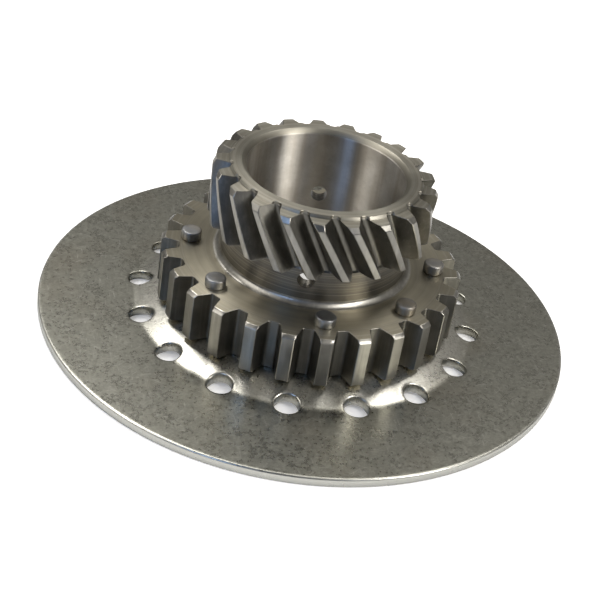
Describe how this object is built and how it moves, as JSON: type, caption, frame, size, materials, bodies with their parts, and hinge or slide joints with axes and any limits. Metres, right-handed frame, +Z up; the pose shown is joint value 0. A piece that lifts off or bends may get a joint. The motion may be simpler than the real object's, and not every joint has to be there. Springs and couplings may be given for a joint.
{
  "type": "clutch drive pinion",
  "caption": "Riveted clutch drive pinion: a helical pinion and a straight-toothed clutch hub with an open bore, on a dished, perforated base plate.",
  "frame": {"origin": "centre of the base plate's flat underside, on the bore axis", "axes": "+Z up the bore axis, from the base plate towards the helical pinion; -Y is the front, where an oil hole opens in the neck"},
  "size_m": [0.115, 0.115, 0.0367],
  "materials": {
    "gear_steel": "machined and hardened steel, satin, warm grey, dark tooth flanks and bright chamfers",
    "sheet_steel": "tumbled sheet steel, mottled and scuffed, with a bright outer edge",
    "rivet_steel": "plain upset steel rivet, satin, slightly blue"
  },
  "bodies": {
    "root": {"drive_pinion": "gear_steel", "base_plate": "sheet_steel", "rivet_1": "rivet_steel", "rivet_2": "rivet_steel", "rivet_3": "rivet_steel", "rivet_4": "rivet_steel", "rivet_5": "rivet_steel", "rivet_6": "rivet_steel", "rivet_7": "rivet_steel", "rivet_8": "rivet_steel"}
  },
  "joints": []
}
